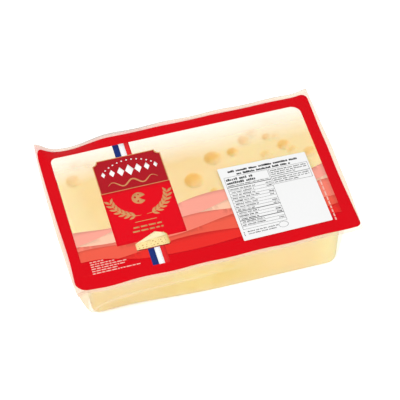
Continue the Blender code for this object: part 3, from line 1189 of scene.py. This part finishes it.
# The label's print: plain rules, ticks and a small oval in black toner
TONER = 0.00002
TABLE_LEFT, TABLE_RIGHT = -0.0250, 0.0014
BLOCK_LEFT, BLOCK_RIGHT = 0.0022, 0.0258
RULE, BOLD_RULE = 0.00016, 0.00045


def bar_tree():
    """Geometry Nodes that set a thin block, sized by an attribute, on each point of the print."""
    sockets = [("Bar Centres", "Geometry"), ("Toner Depth", "Float"), ("Toner", "Material")]
    tree, nodes, links, given = new_shaping("printed_bars", sockets)
    block = nodes.new("GeometryNodeMeshCube")
    block.inputs["Size"].default_value = (1.0, 1.0, 1.0)
    flat = nodes.new("ShaderNodeSeparateXYZ")
    links.new(read_attribute(nodes, "bar_size", "FLOAT_VECTOR"), flat.inputs["Vector"])
    sides = nodes.new("ShaderNodeCombineXYZ")
    links.new(flat.outputs["X"], sides.inputs["X"])
    links.new(flat.outputs["Y"], sides.inputs["Y"])
    links.new(given.outputs["Toner Depth"], sides.inputs["Z"])
    bars = set_on_points(nodes, links, given.outputs["Bar Centres"], block.outputs["Mesh"],
                         sides.outputs["Vector"])
    hand_back(nodes, links, bars, given.outputs["Toner"])
    return tree


def tick_row(start, stop, level, height, draw, weight=0.0):
    """A row of upright ticks in groups, whose pitch goes with their height: place and size of each."""
    step = height * 0.66
    bars = []
    while start < stop - step:
        for _ in range(draw.randint(3, 9)):
            if start > stop - step:
                break
            tall = height * draw.uniform(0.62, 1.0)
            wide = step * (draw.uniform(0.5, 0.85) + weight)
            bars.append((start + step / 2, level + (tall - height) / 2, wide, tall))
            start += step
        start += step
    return bars


def rule(start, stop, level, thickness=RULE):
    """A rule across the label."""
    return [((start + stop) / 2, level, stop - start, thickness)]


def ruled_box(left, low, right, high):
    """Four rules round a field."""
    return (rule(left, right, low) + rule(left, right, high)
            + [(side, (low + high) / 2, RULE, high - low) for side in (left, right)])


def label_bars():
    """All the rules and ticks on the label: place of each from the label's middle, and its size."""
    draw = random.Random(21)
    bars = tick_row(-0.0216, 0.0214, 0.0232, 0.00150, draw, 0.25)
    bars += tick_row(-0.0168, 0.0168, 0.0208, 0.00150, draw, 0.25)
    bars += ruled_box(TABLE_LEFT, -0.0192, TABLE_RIGHT, 0.0193)
    bars += tick_row(TABLE_LEFT + 0.0006, -0.0072, 0.0174, 0.00175, draw, 0.10)
    bars += tick_row(TABLE_LEFT + 0.0006, -0.0064, 0.0149, 0.00175, draw, 0.10)
    bars += tick_row(TABLE_LEFT + 0.0006, TABLE_RIGHT - 0.0010, 0.0129, 0.00075, draw)
    bars += rule(TABLE_LEFT, TABLE_RIGHT, 0.0118, BOLD_RULE)
    for number in range(13):
        level = 0.0102 - 0.0022 * number
        indent = 0.0006 if number % 3 else 0.0000
        stop = TABLE_LEFT + draw.uniform(0.0110, 0.0180)
        bars += tick_row(TABLE_LEFT + 0.0006 + indent, stop, level, 0.00095, draw)
        if number % 3 != 2:
            bars += tick_row(TABLE_RIGHT - 0.0038, TABLE_RIGHT - 0.0006, level, 0.00095, draw)
        bars += rule(TABLE_LEFT, TABLE_RIGHT, level - 0.0011, BOLD_RULE if number in (7, 10) else RULE)
    for low, high in [(0.0135, 0.0192), (0.0077, 0.0133)]:
        bars += ruled_box(BLOCK_LEFT, low, BLOCK_RIGHT, high)
        for line in range(3):
            stop = BLOCK_RIGHT - (0.0008 if line < 2 else 0.0080)
            bars += tick_row(BLOCK_LEFT + 0.0006, stop, high - 0.0013 - 0.0015 * line, 0.00085, draw)
    bars += tick_row(TABLE_LEFT + 0.0020, -0.0045, -0.0212, 0.00080, draw)
    bars += tick_row(TABLE_LEFT + 0.0020, -0.0055, -0.0228, 0.00080, draw)
    bars += [(TABLE_LEFT - 0.0002, -0.0212 - 0.0011 * step, 0.0005, 0.0006) for step in range(3)]
    return bars


def toner_finish():
    """Black toner, fused to the paper: nearly matt, and a little uneven."""
    made, nodes, links, shader = new_finish("black_toner")
    grain = mottle(nodes, links, 1500.0, 2.0)
    shade = blended(nodes, links, grain, linear(30, 30, 32), linear(54, 54, 56))
    links.new(shade, shader.inputs["Base Color"])
    shader.inputs["Roughness"].default_value = 0.5
    return made


def put_on_label(piece):
    """Move a print made about the label's middle to its place, and fix it to the pack."""
    for point in piece.data.vertices:
        u, v, depth = point.co
        point.co = (*on_label(u, v), SHEET_TOP + LABEL_FACE + TONER / 2 + depth)
    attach(piece, "root")
    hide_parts("paper_label")


def add_label_bars(toner):
    """Make the rules and ticks from a point for each."""
    bars = label_bars()
    points = bpy.data.meshes.new("label_bars")
    points.from_pydata([(u, v, 0.0) for u, v, _, _ in bars], [], [])
    size = points.attributes.new("bar_size", "FLOAT_VECTOR", "POINT")
    for value, (_, _, wide, tall) in zip(size.data, bars):
        value.vector = (wide, tall, 0.0)
    piece = bpy.data.objects.new("label_bars", points)
    bpy.context.scene.collection.objects.link(piece)
    printed = piece.modifiers.new("bars", "NODES")
    printed.node_group = bar_tree()
    set_inputs(printed, {"Toner Depth": TONER, "Toner": toner})
    settle(piece)
    put_on_label(piece)


def add_label_oval(toner):
    """Make the small oval ring at the foot of the table."""
    outer = [(0.0029 * math.cos(turn), 0.0021 * math.sin(turn)) for turn in
             (2 * math.pi * step / 32 for step in range(32))]
    rings = [[(-0.0015 + u * share, -0.0217 + v * share) for u, v in outer] for share in (0.93, 1.0)]
    shape = bmesh.new()
    rows = [[shape.verts.new((u, v, level)) for u, v in ring]
            for ring, level in [(rings[0], -TONER / 2), (rings[1], -TONER / 2),
                                (rings[1], TONER / 2), (rings[0], TONER / 2)]]
    for row, following in zip(rows, rows[1:] + rows[:1]):
        for at in range(len(row)):
            shape.faces.new((row[at - 1], row[at], following[at], following[at - 1]))
    bmesh.ops.recalc_face_normals(shape, faces=shape.faces)
    put_on_label(to_object("label_oval", shape, toner))


toner = toner_finish()
add_label_bars(toner)
add_label_oval(toner)


# The studio: a white table, soft light all round, a broad lamp over the front left, and the
# camera where the photograph was taken from.
FLOOR_SIZE = 6.0
CAMERA_AZIMUTH = math.radians(-15.802)
CAMERA_ELEVATION = math.radians(52.721)
CAMERA_DISTANCE = 1.14618
CAMERA_RIGHT = 0.00232
CAMERA_UP = 0.01673
CAMERA_LENS = 171.0


def add_floor():
    """Lay the white table that the pack lies on."""
    shape = bmesh.new()
    bmesh.ops.create_grid(shape, x_segments=1, y_segments=1, size=FLOOR_SIZE / 2)
    made, nodes, links, shader = new_finish("white_table")
    tone = mottle(nodes, links, 3.0, 2.0)
    white = blended(nodes, links, tone, (0.90, 0.90, 0.90, 1), (0.92, 0.92, 0.92, 1))
    path = nodes.new("ShaderNodeLightPath")
    mirrored = path.outputs["Is Glossy Ray"]
    links.new(blended(nodes, links, mirrored, white, (0.2, 0.2, 0.2, 1)), shader.inputs["Base Color"])
    links.new(blended(nodes, links, mirrored, (1, 1, 1, 1), (0, 0, 0, 1)), shader.inputs["Emission Color"])
    shader.inputs["Roughness"].default_value = 0.9
    shader.inputs["Specular IOR Level"].default_value = 0.0
    seen = spread(nodes, links, path.outputs["Is Camera Ray"], 0.0, 1.0, 0.14, 0.35)
    links.new(seen, shader.inputs["Emission Strength"])
    floor = to_object("table", shape, made)


def light_world():
    """Light the pack evenly from all round, with dim surroundings in its reflections."""
    world = bpy.data.worlds.new("studio")
    bpy.context.scene.world = world
    world.use_nodes = True
    nodes, links = world.node_tree.nodes, world.node_tree.links
    around = nodes["Background"]
    around.inputs["Color"].default_value = (1, 1, 1, 1)
    around.inputs["Strength"].default_value = 0.95
    mirrored = nodes.new("ShaderNodeBackground")
    mirrored.inputs["Color"].default_value = (1, 1, 1, 1)
    mirrored.inputs["Strength"].default_value = 0.15
    path = nodes.new("ShaderNodeLightPath")
    mix = nodes.new("ShaderNodeMixShader")
    links.new(path.outputs["Is Glossy Ray"], mix.inputs["Fac"])
    links.new(around.outputs["Background"], mix.inputs[1])
    links.new(mirrored.outputs["Background"], mix.inputs[2])
    links.new(mix.outputs["Shader"], nodes["World Output"].inputs["Surface"])


def add_lamp(name, place, size, power):
    """Hang a square soft lamp that faces the middle of the pack."""
    lamp = bpy.data.lights.new(name, "AREA")
    lamp.size = size
    lamp.energy = power
    held = bpy.data.objects.new(name, lamp)
    held.location = place
    held.rotation_euler = (-Vector(place)).to_track_quat("-Z", "Y").to_euler()
    bpy.context.scene.collection.objects.link(held)


def add_camera():
    """Set the camera where the photograph was taken from."""
    azimuth, elevation = CAMERA_AZIMUTH, CAMERA_ELEVATION
    back = Vector((math.sin(azimuth) * math.cos(elevation), -math.cos(azimuth) * math.cos(elevation),
                   math.sin(elevation)))
    right = Vector((math.cos(azimuth), math.sin(azimuth), 0.0))
    up = back.cross(right)
    lens = bpy.data.cameras.new("camera")
    lens.lens = CAMERA_LENS
    lens.sensor_width = 36.0
    lens.clip_end = 20.0
    camera = bpy.data.objects.new("camera", lens)
    camera.location = right * CAMERA_RIGHT + up * CAMERA_UP + back * CAMERA_DISTANCE
    camera.rotation_euler = (-back).to_track_quat("-Z", "Y").to_euler()
    bpy.context.scene.collection.objects.link(camera)
    bpy.context.scene.camera = camera


add_floor()
light_world()
add_lamp("soft_lamp", (-0.45, -0.55, 0.95), 0.8, 4.0)
add_camera()
bpy.context.scene.view_settings.view_transform = "Standard"
